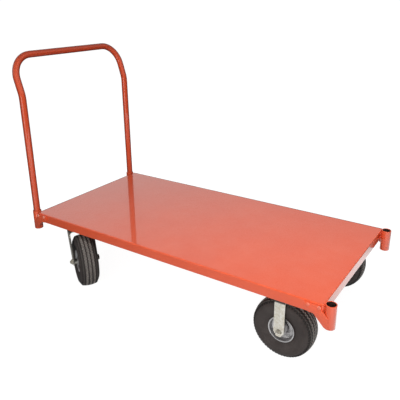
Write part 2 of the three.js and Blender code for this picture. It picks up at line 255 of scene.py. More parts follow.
def floor_material():
    """Matt white that fades to plain white for the camera, shines in the paint, and is clear from below."""
    material = bpy.data.materials.new("floor")
    material.use_nodes = True
    tree = material.node_tree
    tree.nodes.clear()
    path = add_node(tree, "ShaderNodeLightPath").outputs
    tone = blend_colours(tree, path["Is Camera Ray"], (0.45, 0.45, 0.45, 1), (0.9, 0.9, 0.9, 1))
    matt = add_node(tree, "ShaderNodeBsdfDiffuse", Color=tone, Roughness=0.6)
    seen = add_node(tree, "ShaderNodeEmission", Color=(1, 1, 1, 1), Strength=1.15)
    place = split(tree, object_place(tree))
    bright = calculate(tree, "MULTIPLY", *(rescale(tree, place["X"], *row) for row in FLOOR_ALONG))
    bright = calculate(tree, "MULTIPLY", bright, rescale(tree, place["Y"], *FLOOR_ACROSS))
    bright = calculate(tree, "MULTIPLY_ADD", window_on_floor(tree, place), WINDOW_LIGHT, bright)
    shine = add_node(tree, "ShaderNodeEmission", Color=(1, 1, 1, 1), Strength=bright)
    far = add_node(tree, "ShaderNodeVectorMath", {"operation": "LENGTH"})
    connect(tree, object_place(tree), far.inputs[0])
    share = rescale(tree, far.outputs["Value"], 0.9, 1.9, 0.84, 1.0)
    clear = add_node(tree, "ShaderNodeBsdfTransparent")
    surface = stack(tree, matt.outputs[0], calculate(tree, "MULTIPLY", path["Is Camera Ray"], share), seen)
    surface = stack(tree, surface, path["Is Glossy Ray"], shine)
    surface = stack(tree, surface, add_node(tree, "ShaderNodeNewGeometry").outputs["Backfacing"], clear)
    add_node(tree, "ShaderNodeOutputMaterial", Surface=surface)
    return material


def add_floor():
    reach = 2.6
    points = [Vector((reach * math.cos(a), reach * math.sin(a), 0)) for a in turns(64)]
    floor = add_object("floor", [(points, [tuple(range(64))])], floor_material())


# ---------------------------------------------------------------- shapes: (points, faces)


def turns(count):
    return [2 * math.pi * i / count for i in range(count)]


def ring_faces(rings, size, joined=False):
    """Quads between rings of points that follow one another; joined also closes the last to the first."""
    faces = []
    for ring in range(rings if joined else rings - 1):
        low = ring * size
        high = (ring + 1) % rings * size
        for i in range(size):
            after = (i + 1) % size
            faces.append((low + i, low + after, high + after, high + i))
    return faces


def from_rings(rings, joined=False):
    """A closed shape through rings of points, with flat ends unless it is joined."""
    size = len(rings[0])
    points = [point for ring in rings for point in ring]
    faces = ring_faces(len(rings), size, joined)
    if not joined:
        faces.append(tuple(range(size)))
        faces.append(tuple(range(len(points) - size, len(points))))
    return points, faces


def turned(profile, segments, joined=True):
    """A profile of (radius, height) turned about Z. Not joined: its two ends are closed flat."""
    rings = []
    for radius, height in profile:
        rings.append([Vector((radius * math.cos(a), radius * math.sin(a), height)) for a in turns(segments)])
    return from_rings(rings, joined)


def swept(route, radius, sides):
    """A round bar along a route of points."""
    rings = []
    across = (route[1] - route[0]).normalized().orthogonal().normalized()
    for i, point in enumerate(route):
        before = route[max(i - 1, 0)]
        after = route[min(i + 1, len(route) - 1)]
        along = (after - before).normalized()
        across = (across - along * across.dot(along)).normalized()
        upright = along.cross(across)
        rings.append([point + (across * math.cos(a) + upright * math.sin(a)) * radius for a in turns(sides)])
    return rings


def prism(outline, low, high, to_space):
    """An outline of (u, v) from w = low to w = high; to_space puts (u, v, w) in space."""
    rings = [[to_space(u, v, w) for u, v in outline] for w in (low, high)]
    return from_rings(rings)


def across_y(u, v, w):
    return Vector((u, w, v))


def along_x(u, v, w):
    return Vector((w, u, v))


def upward(u, v, w):
    return Vector((u, v, w))


def rounded(corners, radii, steps=5):
    """Replaces each corner that has a radius with an arc; a corner or an end with radius 0 stays."""
    line = []
    for i, corner in enumerate(corners):
        radius = radii[i]
        if radius == 0:
            line.append(corner)
            continue
        backward = (corners[i - 1] - corner).normalized()
        forward = (corners[(i + 1) % len(corners)] - corner).normalized()
        half = backward.angle(forward) / 2
        inward = (backward + forward).normalized()
        along = (forward - backward).normalized()
        centre = corner + inward * (radius / math.sin(half))
        for k in range(steps + 1):
            angle = (math.pi / 2 - half) * (2 * k / steps - 1)
            line.append(centre - inward * (radius * math.cos(angle)) + along * (radius * math.sin(angle)))
    return line


def rounded_outline(corners, radii, steps=5):
    """The same for flat outlines: corners are (u, v), and radii is one number or one for each corner."""
    if not isinstance(radii, (list, tuple)):
        radii = [radii] * len(corners)
    line = rounded([Vector((u, v, 0)) for u, v in corners], radii, steps)
    return [(point.x, point.y) for point in line]


def moved(shape, matrix):
    points, faces = shape
    return [matrix @ point for point in points], faces


def at(place):
    return Matrix.Translation(Vector(place))


AXIS_TO_Y = Matrix.Rotation(-math.pi / 2, 4, "X")  # turns a shape about Z into one about Y


def build_mesh(name, shapes, sharp_over=32):
    """One mesh of several closed shapes, each with its faces turned outwards."""
    whole = bmesh.new()
    for points, faces in shapes:
        corners = [whole.verts.new(point) for point in points]
        made = [whole.faces.new([corners[i] for i in face]) for face in faces]
        bmesh.ops.recalc_face_normals(whole, faces=made)
    mesh = bpy.data.meshes.new(name)
    whole.to_mesh(mesh)
    whole.free()
    shade(mesh, sharp_over)
    return mesh


def shade(mesh, sharp_over):
    mesh.shade_smooth()
    mesh.set_sharp_from_angle(angle=math.radians(sharp_over))


def paint(mesh, material):
    mesh.materials.clear()
    mesh.materials.append(material)


def link_object(name, mesh, material=None):
    piece = bpy.data.objects.new(name, mesh)
    bpy.context.scene.collection.objects.link(piece)
    if material:
        paint(mesh, material)
    return piece


def add_object(name, shapes, material=None, sharp_over=32):
    return link_object(name, build_mesh(name, shapes, sharp_over), material)


def settle(piece):
    """Turns the object with its modifiers into a plain mesh."""
    bpy.context.view_layer.update()
    evaluated = piece.evaluated_get(bpy.context.evaluated_depsgraph_get())
    mesh = bpy.data.meshes.new_from_object(evaluated)
    piece.modifiers.clear()
    old = piece.data
    piece.data = mesh
    bpy.data.meshes.remove(old)
    mesh.name = piece.name
    return piece


def combine(piece, shape, operation):
    """Adds a step that cuts a shape from the piece, or keeps only what lies in both."""
    tool = add_object("tool", [shape])
    step = piece.modifiers.new("combine", "BOOLEAN")
    step.operation = operation
    step.solver = "EXACT"
    step.object = tool
    settle(piece)
    bpy.data.objects.remove(tool)


def drill(piece, centre, radius, low, high, sides=40):
    """Cuts an upright round hole through the piece."""
    hole = turned([(radius, low), (radius, high)], sides, joined=False)
    combine(piece, moved(hole, at((centre.x, centre.y, 0))), "DIFFERENCE")


def ease_edges(piece, width, material):
    """Rounds the piece's sharp edges, and paints the piece again after its cuts."""
    step = piece.modifiers.new("ease", "BEVEL")
    step.width = width
    step.segments = 2
    step.limit_method = "ANGLE"
    step.angle_limit = math.radians(50)
    settle(piece)
    shade(piece.data, 32)
    paint(piece.data, material)


def fit(piece, body, slot, *nodes):
    """Puts the piece on its body and hides the CAD nodes that it stands for; slot is not used."""
    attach(piece, body)
    if nodes:
        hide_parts(*nodes)
    return piece


# ---------------------------------------------------------------- finishes


def effect(name, inputs, outputs):
    """A node group with float inputs {name: value} and float outputs, and the sockets inside it."""
    tree = bpy.data.node_groups.new(name, "ShaderNodeTree")
    for label, value in inputs.items():
        socket = tree.interface.new_socket(label, in_out="INPUT", socket_type="NodeSocketFloat")
        socket.default_value = value
    for label in outputs:
        tree.interface.new_socket(label, in_out="OUTPUT", socket_type="NodeSocketFloat")
    return tree, tree.nodes.new("NodeGroupInput").outputs, tree.nodes.new("NodeGroupOutput").inputs


def object_place(tree):
    return add_node(tree, "ShaderNodeTexCoord").outputs["Object"]


def noise(tree, scale, detail, roughness=0.5, place=None):
    made = add_node(tree, "ShaderNodeTexNoise", Scale=scale, Detail=detail, Roughness=roughness)
    connect(tree, place or object_place(tree), made.inputs["Vector"])
    return made.outputs[0]


def height_of_normal(tree):
    """1 on faces that look straight up, 0 on upright ones."""
    return split(tree, add_node(tree, "ShaderNodeNewGeometry").outputs["Normal"])["Z"]


def kept_value(tree, name):
    """A number kept on the piece's points."""
    return add_node(tree, "ShaderNodeAttribute", {"attribute_name": name}).outputs["Fac"]


def mottle_effect():
    """Soft cloudy patches, from 0 to 1."""
    tree, given, result = effect("mottle", {"Scale": 8.0, "Contrast": 1.0}, ["Value"])
    centred = calculate(tree, "SUBTRACT", noise(tree, given["Scale"], 4.0, 0.6), 0.5)
    spread = calculate(tree, "MULTIPLY_ADD", centred, given["Contrast"], 0.5)
    tree.links.new(spread, result["Value"])
    return tree


def grain_effect():
    """Fine surface texture: a height for a bump, and the same grain as a mask."""
    tree, given, result = effect("grain", {"Scale": 400.0, "Coarse Share": 0.3}, ["Height", "Mask"])
    fine = noise(tree, given["Scale"], 3.0)
    coarse = noise(tree, calculate(tree, "MULTIPLY", given["Scale"], 0.12), 1.0)
    height = add_node(tree, "ShaderNodeMix", Factor=given["Coarse Share"])
    tree.links.new(fine, height.inputs[2])
    tree.links.new(coarse, height.inputs[3])
    tree.links.new(height.outputs[0], result["Height"])
    tree.links.new(fine, result["Mask"])
    return tree


def rub_effect():
    """Thin handling marks that run in two directions, from 0 to 1."""
    tree, given, result = effect("rub marks", {"Scale": 30.0, "Cover": 0.3}, ["Mask"])
    masks = []
    for stretch, turn in (((1, 14, 5), 0.5), ((12, 1, 9), -0.9)):
        placed = add_node(
            tree, "ShaderNodeMapping", Vector=object_place(tree), Rotation=(0.2, 0.1, turn), Scale=stretch
        )
        lines = noise(tree, given["Scale"], 2.0, place=placed.outputs[0])
        edge = calculate(tree, "SUBTRACT", 0.78, calculate(tree, "MULTIPLY", given["Cover"], 0.3))
        over = calculate(tree, "SUBTRACT", lines, edge)
        masks.append(rescale(tree, over, 0.0, 0.08, 0.0, 1.0))
    tree.links.new(calculate(tree, "MAXIMUM", *masks), result["Mask"])
    return tree


def pale_top_effect():
    """A pale film on faces that look up, from 0 to 1: dust when faint, a painted highlight when laid on
    strongly.
    """
    tree, given, result = effect("dust", {"Amount": 0.1, "Scale": 25.0}, ["Mask"])
    facing_up = rescale(tree, height_of_normal(tree), 0, 1, 0.25, 1)
    film = rescale(tree, noise(tree, given["Scale"], 6.0), 0.35, 0.7, 0.0, 1.0)
    mask = calculate(tree, "MULTIPLY", calculate(tree, "MULTIPLY", film, facing_up), given["Amount"])
    tree.links.new(mask, result["Mask"])
    return tree


def rings_effect():
    """Fine circles about a wheel's axle, read from the distance kept on the piece's points."""
    tree, given, result = effect("turned rings", {"Rings Per Metre": 600.0}, ["Value"])
    along = calculate(tree, "MULTIPLY", kept_value(tree, "from_axle"), given["Rings Per Metre"])
    rings = add_node(tree, "ShaderNodeTexNoise", {"noise_dimensions": "1D"}, W=along, Scale=1.0, Detail=2.0)
    tree.links.new(rings.outputs[0], result["Value"])
    return tree


EFFECTS = {
    "mottle": mottle_effect(),
    "grain": grain_effect(),
    "rub": rub_effect(),
    "dust": pale_top_effect(),
    "rings": rings_effect(),
}


def apply_effect(tree, name, **inputs):
    made = tree.nodes.new("ShaderNodeGroup")
    made.node_tree = EFFECTS[name]
    for label, value in inputs.items():
        connect(tree, value, made.inputs[label.replace("_", " ")])
    return made.outputs


def new_material(name):
    material = bpy.data.materials.new(name)
    material.use_nodes = True
    tree = material.node_tree
    return material, tree, tree.nodes["Principled BSDF"]


def two_toned(name, scale, contrast, darker, lighter):
    """A new material, and a colour for it that drifts between two tones."""
    material, tree, shader = new_material(name)
    cloud = apply_effect(tree, "mottle", Scale=scale, Contrast=contrast)["Value"]
    return material, tree, shader, blend_colours(tree, cloud, (*darker, 1), (*lighter, 1))


def add_bump(tree, shader, height, depth):
    bump = add_node(tree, "ShaderNodeBump", Height=height, Distance=depth, Strength=1.0)
    tree.links.new(bump.outputs[0], shader.inputs["Normal"])


def far_edge_shade(tree):
    """1 on narrow strips along the deck's rear edge and its left edge, its far edges, where a dark line is
    painted in as shade.
    """
    place = split(tree, object_place(tree))
    at_rear = calculate(tree, "LESS_THAN", place["X"], DECK_LOW.x + FAR_EDGE_SHADE_WIDTH)
    at_left = calculate(tree, "GREATER_THAN", place["Y"], DECK_HIGH.y - FAR_EDGE_SHADE_WIDTH)
    on_top = calculate(tree, "GREATER_THAN", place["Z"], DECK_HIGH.z - SHEET)
    return calculate(tree, "MULTIPLY", calculate(tree, "MAXIMUM", at_rear, at_left), on_top)


def turned_away(tree, power):
    """From 0 where a surface faces the viewer to 1 at its outline."""
    facing = add_node(tree, "ShaderNodeLayerWeight", Blend=0.5).outputs["Facing"]
    return calculate(tree, "POWER", facing, power)


def enamel_material(name, dust_and_glint, depth=1.0, shade_mask_part=None):
    """Glossy red-orange enamel with a slight orange peel, and a pale film where it faces up: light dust at a
    small amount, a painted highlight at a large one.

    The last argument makes a mask of painted shade: there the paint is darkened and its gloss taken away.
    """
    # A depth below 1 darkens every tone of the paint: painted shade, used for the handle.
    darker = [channel_value * depth for channel_value in (0.71, 0.090, 0.032)]
    lighter = [channel_value * depth for channel_value in (0.78, 0.108, 0.038)]
    material, tree, shader, colour = two_toned(name, 5.0, 1.2, darker, lighter)
    dust = apply_effect(tree, "dust", Amount=dust_and_glint, Scale=14.0)["Mask"]
    colour = blend_colours(tree, dust, colour, (0.82, 0.45, 0.36, 1))
    marks = apply_effect(tree, "rub", Scale=22.0, Cover=0.25)["Mask"]
    coat = rescale(tree, marks, 0, 1, 1.0, 0.8)
    if shade_mask_part:
        # Painted shade: darker paint without its gloss where the mask is.
        shade_mask = shade_mask_part(tree)
        colour = blend_colours(tree, shade_mask, colour, (0.13, 0.010, 0.008, 1))
        coat = calculate(tree, "MULTIPLY", coat, rescale(tree, shade_mask, 0, 1, 1.0, 0.0))
    connect(tree, colour, shader.inputs["Base Color"])
    grain = apply_effect(tree, "grain", Scale=420.0, Coarse_Share=0.55)
    rough = calculate(tree, "MULTIPLY_ADD", marks, 0.10, 0.24)
    rough = calculate(tree, "MULTIPLY_ADD", grain["Mask"], 0.08, rough)
    connect(tree, rough, shader.inputs["Roughness"])
    connect(tree, coat, shader.inputs["Coat Weight"])
    shader.inputs["Coat Roughness"].default_value = 0.045
    shader.inputs["Coat IOR"].default_value = 1.5
    shader.inputs["Specular IOR Level"].default_value = 0.1
    add_bump(tree, shader, grain["Height"], 0.00022)
    return material


def bare_steel_material():
    """Dark, slightly rusty steel that the paint has not reached."""
    tones = (0.030, 0.022, 0.020), (0.085, 0.046, 0.034)
    material, tree, shader, colour = two_toned("bare_steel", 70.0, 2.0, *tones)
    connect(tree, colour, shader.inputs["Base Color"])
    shader.inputs["Metallic"].default_value = 0.4
    grain = apply_effect(tree, "grain", Scale=1200.0, Coarse_Share=0.3)
    connect(tree, rescale(tree, grain["Mask"], 0.2, 0.8, 0.5, 0.75), shader.inputs["Roughness"])
    add_bump(tree, shader, grain["Height"], 0.00015)
    return material


def zinc_material(name, dull, bright, top_shade_share=0.95):
    """Plated steel with a faint yellow bloom, and painted shade where it faces up: darker, less metallic and
    rougher there.
    """
    material, tree, shader, colour = two_toned(name, 95.0, 2.8, dull, bright)
    specks = apply_effect(tree, "mottle", Scale=420.0, Contrast=3.5)["Value"]
    colour = blend_colours(tree, rescale(tree, specks, 0.2, 0.0, 0.0, 0.5), colour, (0.20, 0.18, 0.15, 1))
    # Painted shade on faces that look up, as under the deck's skirt.
    top_shade = rescale(tree, height_of_normal(tree), 0.12, 0.4, 0.0, top_shade_share)
    colour = blend_colours(tree, top_shade, colour, (0.030, 0.026, 0.023, 1))
    connect(tree, colour, shader.inputs["Base Color"])
    connect(tree, rescale(tree, top_shade, 0.0, 1.0, 0.82, 0.1), shader.inputs["Metallic"])
    marks = apply_effect(tree, "rub", Scale=60.0, Cover=0.5)["Mask"]
    grain = apply_effect(tree, "grain", Scale=900.0, Coarse_Share=0.2)
    rough = calculate(tree, "MULTIPLY_ADD", marks, 0.12, 0.34)
    rough = calculate(tree, "MULTIPLY_ADD", grain["Mask"], 0.16, rough)
    connect(tree, calculate(tree, "MULTIPLY_ADD", top_shade, 0.3, rough), shader.inputs["Roughness"])
    add_bump(tree, shader, grain["Height"], 0.00012)
    return material


def rim_material():
    """Pressed and spun steel, brighter than the plating."""
    tones = (0.48, 0.47, 0.48), (0.62, 0.61, 0.61)
    material, tree, shader, colour = two_toned("rim_steel", 30.0, 1.4, *tones)
    connect(tree, colour, shader.inputs["Base Color"])
    rings = apply_effect(tree, "rings", Rings_Per_Metre=900.0)["Value"]
    shader.inputs["Metallic"].default_value = 0.95
    connect(tree, rescale(tree, rings, 0.3, 0.7, 0.22, 0.42), shader.inputs["Roughness"])
    add_bump(tree, shader, rings, 0.00010)
    return material


def rubber_material():
    """Tyre rubber, brownish black, with fine moulding circles on the walls, pale rib edges that are scuffing
    and a painted highlight, and painted shade toward its outline.
    """
    tones = (0.038, 0.031, 0.029), (0.062, 0.051, 0.048)
    material, tree, shader, colour = two_toned("tyre_rubber", 16.0, 1.8, *tones)
    dust = apply_effect(tree, "dust", Amount=0.25, Scale=40.0)["Mask"]
    colour = blend_colours(tree, dust, colour, (0.17, 0.15, 0.14, 1))
    colour = blend_colours(tree, kept_value(tree, "tread"), colour, (0.022, 0.019, 0.018, 1))
    # Painted shade: the rubber goes near black toward its outline.
    colour = blend_colours(tree, turned_away(tree, 2.5), colour, (0.004, 0.003, 0.003, 1))
    grain = apply_effect(tree, "grain", Scale=1100.0, Coarse_Share=0.25)
    connect(tree, rescale(tree, grain["Mask"], 0.2, 0.8, 0.5, 0.72), shader.inputs["Roughness"])
    shader.inputs["Specular IOR Level"].default_value = 0.24
    # Pale rib edges: scuffing with a painted highlight.
    near_edge = calculate(tree, "POWER", kept_value(tree, "worn"), 4.0)
    edge_scuff_and_highlight = calculate(tree, "MULTIPLY", near_edge, rescale(tree, grain["Mask"], 0.3, 0.6, 0.25, 1.0))
    connect(tree, blend_colours(tree, edge_scuff_and_highlight, colour, (0.68, 0.62, 0.57, 1)), shader.inputs["Base Color"])
    rings = apply_effect(tree, "rings", Rings_Per_Metre=420.0)["Value"]
    height = calculate(tree, "MULTIPLY_ADD", rings, 0.6, grain["Height"])
    add_bump(tree, shader, height, 0.00030)
    return material


def stem_material():
    """Smooth black rubber of the valve stems and inner tubes."""
    tones = (0.018, 0.018, 0.019), (0.034, 0.032, 0.031)
    material, tree, shader, colour = two_toned("stem_rubber", 90.0, 1.5, *tones)
    connect(tree, colour, shader.inputs["Base Color"])
    grain = apply_effect(tree, "grain", Scale=1600.0, Coarse_Share=0.2)
    connect(tree, rescale(tree, grain["Mask"], 0.2, 0.8, 0.34, 0.5), shader.inputs["Roughness"])
    add_bump(tree, shader, grain["Height"], 0.00010)
    return material


# ---------------------------------------------------------------- places taken from the CAD


def middle(node):
    low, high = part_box(node)
    return (low + high) / 2


def joint_axis(child):
    found = [joint for joint in frame["joints"] if joint["child"] == child]
    return Vector(found[0]["axis"])


DECK_LOW, DECK_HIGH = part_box("deck_pan")
DECK_MIDDLE = middle("deck_pan")
HALF_LENGTH = (DECK_HIGH.x - DECK_LOW.x) / 2
HALF_WIDTH = (DECK_HIGH.y - DECK_LOW.y) / 2
SOCKET_RADIUS = (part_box("front_left_socket")[1].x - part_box("front_left_socket")[0].x) / 2
CORNERS = [(end, side) for end in ("front", "rear") for side in ("left", "right")]
CHANNELS = ("front_cross_channel", "front_middle_channel", "rear_middle_channel", "rear_cross_channel")


# ---------------------------------------------------------------- repeated parts, by geometry nodes


def node_tool(name, inputs):
    """An empty geometry node tree with a geometry in and out, and the named inputs {name: (kind, value)}."""
    tree = bpy.data.node_groups.new(name, "GeometryNodeTree")
    tree.interface.new_socket("Geometry", in_out="INPUT", socket_type="NodeSocketGeometry")
    for label, (kind, value) in inputs.items():
        socket = tree.interface.new_socket(label, in_out="INPUT", socket_type=kind)
        if value is not None:
            socket.default_value = value
    tree.interface.new_socket("Geometry", in_out="OUTPUT", socket_type="NodeSocketGeometry")
    return tree, tree.nodes.new("NodeGroupInput").outputs, tree.nodes.new("NodeGroupOutput")


def finish_tree(tree, instances, material, result, extra=None):
    """Makes the instances real, joins what they sit on if it is kept, and sets the material."""
    real = add_node(tree, "GeometryNodeRealizeInstances", Geometry=instances)
    joined = add_node(tree, "GeometryNodeJoinGeometry")
    tree.links.new(real.outputs[0], joined.inputs[0])
    if extra is not None:
        tree.links.new(extra, joined.inputs[0])
    welded = add_node(tree, "GeometryNodeMergeByDistance", Geometry=joined.outputs[0], Distance=0.00002)
    painted = add_node(tree, "GeometryNodeSetMaterial", Geometry=welded.outputs[0], Material=material)
    tree.links.new(painted.outputs[0], result.inputs[0])


def bolt_tool():
    """A fastener on each point, its axis along the point's facing."""
    tree, given, result = node_tool(
        "place fasteners",
        {
            "Fastener": ("NodeSocketObject", None),
            "Size": ("NodeSocketFloat", 1.0),
            "Finish": ("NodeSocketMaterial", None),
        },
    )
    head = add_node(tree, "GeometryNodeObjectInfo", Object=given["Fastener"])
    facing = add_node(tree, "GeometryNodeInputNamedAttribute", {"data_type": "FLOAT_VECTOR"}, Name="facing")
    turn = add_node(tree, "FunctionNodeAlignRotationToVector", Vector=facing.outputs[0])
    placed = add_node(
        tree,
        "GeometryNodeInstanceOnPoints",
        Points=given["Geometry"],
        Instance=head.outputs["Geometry"],
        Rotation=turn.outputs[0],
        Scale=given["Size"],
    )
    finish_tree(tree, placed.outputs[0], given["Finish"], result)
    return tree


def weld_tool():
    """Overlapping drops of weld along the lines of a mesh."""
    tree, given, result = node_tool(
        "lay weld",
        {
            "Bead Radius": ("NodeSocketFloat", 0.002),
            "Step": ("NodeSocketFloat", 0.002),
            "Unevenness": ("NodeSocketFloat", 0.2),
            "Seed": ("NodeSocketInt", 3),
            "Finish": ("NodeSocketMaterial", None),
        },
    )
    line = add_node(tree, "GeometryNodeMeshToCurve", Mesh=given["Geometry"])
    spaced = add_node(
        tree, "GeometryNodeResampleCurve", {"mode": "LENGTH"}, Curve=line.outputs[0], Length=given["Step"]
    )
    drop = add_node(tree, "GeometryNodeMeshUVSphere", Segments=8, Rings=5, Radius=given["Bead Radius"])
    smallest = calculate(tree, "SUBTRACT", 1.0, given["Unevenness"])
    chance = add_node(tree, "FunctionNodeRandomValue", {"data_type": "FLOAT"})
    connect(tree, smallest, chance.inputs[2])
    connect(tree, 1.0, chance.inputs[3])
    connect(tree, given["Seed"], chance.inputs["Seed"])
    placed = add_node(
        tree,
        "GeometryNodeInstanceOnPoints",
        Points=spaced.outputs[0],
        Instance=drop.outputs[0],
        Scale=chance.outputs[1],
    )
    finish_tree(tree, placed.outputs[0], given["Finish"], result)
    return tree


def tread_tool():
    """One pitch of the tread, repeated round the axle, on the tyre's casing."""
    tree, given, result = node_tool(
        "ring of tread",
        {
            "Pitch": ("NodeSocketObject", None),
            "Pitches": ("NodeSocketInt", 60),
            "Finish": ("NodeSocketMaterial", None),
        },
    )
    block = add_node(tree, "GeometryNodeObjectInfo", Object=given["Pitch"])
    spots = add_node(tree, "GeometryNodePoints", Count=given["Pitches"])
    number = add_node(tree, "GeometryNodeInputIndex").outputs[0]
    share = calculate(tree, "DIVIDE", number, given["Pitches"])
    angle = calculate(tree, "MULTIPLY", share, 2 * math.pi)
    euler = add_node(tree, "ShaderNodeCombineXYZ", Y=angle)
    turn = add_node(tree, "FunctionNodeEulerToRotation", Euler=euler.outputs[0])
    placed = add_node(
        tree,
        "GeometryNodeInstanceOnPoints",
        Points=spots.outputs[0],
        Instance=block.outputs["Geometry"],
        Rotation=turn.outputs[0],
    )
    finish_tree(tree, placed.outputs[0], given["Finish"], result, given["Geometry"])
    return tree


def run_tool(piece, tree, **inputs):
    """Runs a geometry node tree on the piece and keeps the result as its plain mesh."""
    step = piece.modifiers.new("build", "NODES")
    step.node_group = tree
    sockets = {item.name: item.identifier for item in tree.interface.items_tree if item.in_out == "INPUT"}
    for label, value in inputs.items():
        step[sockets[label.replace("_", " ")]] = value
    settle(piece)
    shade(piece.data, 40)
    return piece


def points_object(name, places, facings):
    """Loose points with a facing each, for the fastener tool."""
    mesh = bpy.data.meshes.new(name)
    mesh.from_pydata([tuple(place) for place in places], [], [])
    facing = mesh.attributes.new("facing", "FLOAT_VECTOR", "POINT")
    facing.data.foreach_set("vector", [number for way in facings for number in way])
    return link_object(name, mesh)


def hexagon(radius, height, bore=0.0, segments=48):
    """A hexagonal nut or bolt head on z = 0, its upper corners turned down."""
    flat = radius * math.cos(math.pi / 6)
    reach = []
    for a in turns(segments):
        reach.append(flat / math.cos((a % (math.pi / 3)) - math.pi / 6))
    shoulder = [height - max(0.0, r - flat) * 0.58 for r in reach]

    def ring(radii, heights):
        rows = zip(turns(segments), radii, heights)
        return [Vector((r * math.cos(a), r * math.sin(a), h)) for a, r, h in rows]

    level = [0.0] * segments
    crown = [flat * 0.97] * segments
    rings = [
        ring(reach, level),
        ring(reach, [h - 0.4 * MM for h in shoulder]),
        ring(crown, [height] * segments),
    ]
    if bore:
        inside = [bore] * segments
        rings += [ring(inside, [height - 0.6 * MM] * segments), ring(inside, level)]
    return from_rings(rings, joined=bool(bore))


def dome(radius, height, segments=24):
    """A round bolt head on z = 0."""
    profile = [(radius, 0.0), (radius, height * 0.25)]
    for k in range(1, 6):
        angle = math.pi / 2 * k / 6
        profile.append((radius * math.cos(angle) + radius * 0.02, height * (0.25 + 0.75 * math.sin(angle))))
    return turned(profile, segments, joined=False)


# ---------------------------------------------------------------- deck


def rectangle(low_x, low_y, high_x, high_y):
    return [(low_x, low_y), (high_x, low_y), (high_x, high_y), (low_x, high_y)]


def deck_sheet(enamel):
    """The folded pan: rounded rectangles from the top face over the fold, down, and back up inside."""
    top = DECK_HIGH.z
    bottom = DECK_LOW.z
    start = -FOLD - 1 * MM
    section = rounded_outline(
        [
            (start, top), (0, top), (0, bottom),
            (-SHEET, bottom), (-SHEET, top - SHEET), (start, top - SHEET),
        ],
        [0, FOLD, 0.7 * MM, 0.7 * MM, FOLD - SHEET, 0],
        8,
    )
    rings = []
    for inset, height in section:
        length = HALF_LENGTH + inset
        width = HALF_WIDTH + inset
        corner = max(DECK_CORNER + inset, 0.4 * MM)
        plan = rounded_outline(rectangle(-length, -width, length, width), corner, 6)
        rings.append([Vector((DECK_MIDDLE.x + x, DECK_MIDDLE.y + y, height)) for x, y in plan])
    return fit(add_object("deck_sheet", [from_rings(rings)], enamel, 25), "deck", "red_enamel", "deck_pan")


def channel(node, enamel):
    low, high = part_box(node)
    inner_low = low.x + SHEET
    inner_high = high.x - SHEET
    fold = CHANNEL_FOLD
    outline = rounded_outline(
        [
            (low.x, low.z), (high.x, low.z), (high.x, high.z), (inner_high, high.z),
            (inner_high, low.z + SHEET), (inner_low, low.z + SHEET), (inner_low, high.z), (low.x, high.z),
        ],
        [fold, fold, 0.5 * MM, 0.5 * MM, fold - SHEET, fold - SHEET, 0.5 * MM, 0.5 * MM],
    )
    name = node.replace("channel", "folded_channel")
    piece = add_object(name, [prism(outline, low.y, high.y, across_y)], enamel)
    return fit(piece, "deck", "red_enamel", node)


def corner_socket(prefix, enamel, bare):
    """A capped length of pipe, painted outside and bare inside."""
    low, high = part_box(f"{prefix}_socket")
    place = middle(f"{prefix}_socket")
    profile = rounded_outline(
        [
            (SOCKET_DRAIN, low.z), (SOCKET_RADIUS, low.z), (SOCKET_RADIUS, high.z),
            (SOCKET_BORE, high.z), (SOCKET_BORE, low.z + SOCKET_FLOOR), (SOCKET_DRAIN, low.z + SOCKET_FLOOR),
        ],
        [0.5 * MM, 2 * MM, SOCKET_LIP, SOCKET_LIP, 0.8 * MM, 0.5 * MM],
        4,
    )
    shape = moved(turned(profile, 64), at((place.x, place.y, 0)))
    piece = add_object(f"{prefix}_socket_tube", [shape], enamel)
    piece.data.materials.append(bare)
    for face in piece.data.polygons:
        reach = (face.center - Vector((place.x, place.y, face.center.z))).length
        if reach < SOCKET_BORE + 0.1 * MM and face.center.z < high.z - SOCKET_LIP:
            face.material_index = 1
    return fit(piece, "deck", "red_enamel", f"{prefix}_socket")


def corner_gusset(prefix, enamel):
    """A flat bar along the deck's edge that slants down to the socket."""
    toward = 1 if prefix.startswith("front") else -1
    low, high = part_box(f"{prefix}_gusset")
    tube = middle(f"{prefix}_socket")
    fold = HALF_LENGTH - GUSSET_BEND
    reach = abs(tube.x - DECK_MIDDLE.x)
    slant = GUSSET_WIDTH / math.sqrt(2)
    drop = reach - fold
    foot = high.z - drop - GUSSET_FOOT
    edge = DECK_LOW.z + 2 * MM
    corners = [
        (HALF_LENGTH - GUSSET_START, high.z), (fold, high.z), (reach, high.z - drop), (reach, foot),
        (reach - GUSSET_TOE, foot), (fold - 2 * slant + high.z - edge, edge),
        (HALF_LENGTH - GUSSET_CORNER, edge), (HALF_LENGTH - GUSSET_START, edge + GUSSET_TOE),
    ]
    radii = [1.5 * MM, 4 * MM, 0.4 * MM, 0.4 * MM, 3 * MM, 4 * MM, 2 * MM, 1.5 * MM]
    outline = rounded_outline(corners, radii, 4)
    outline = [(DECK_MIDDLE.x + toward * x, z) for x, z in outline]
    piece = add_object(f"{prefix}_gusset_bar", [prism(outline, low.y, high.y, across_y)], enamel)
    drill(piece, tube, SOCKET_RADIUS - 1 * MM, low.z - 0.05, high.z + 0.05, 48)
    ease_edges(piece, 0.8 * MM, enamel)
    return fit(piece, "deck", "red_enamel", f"{prefix}_gusset")


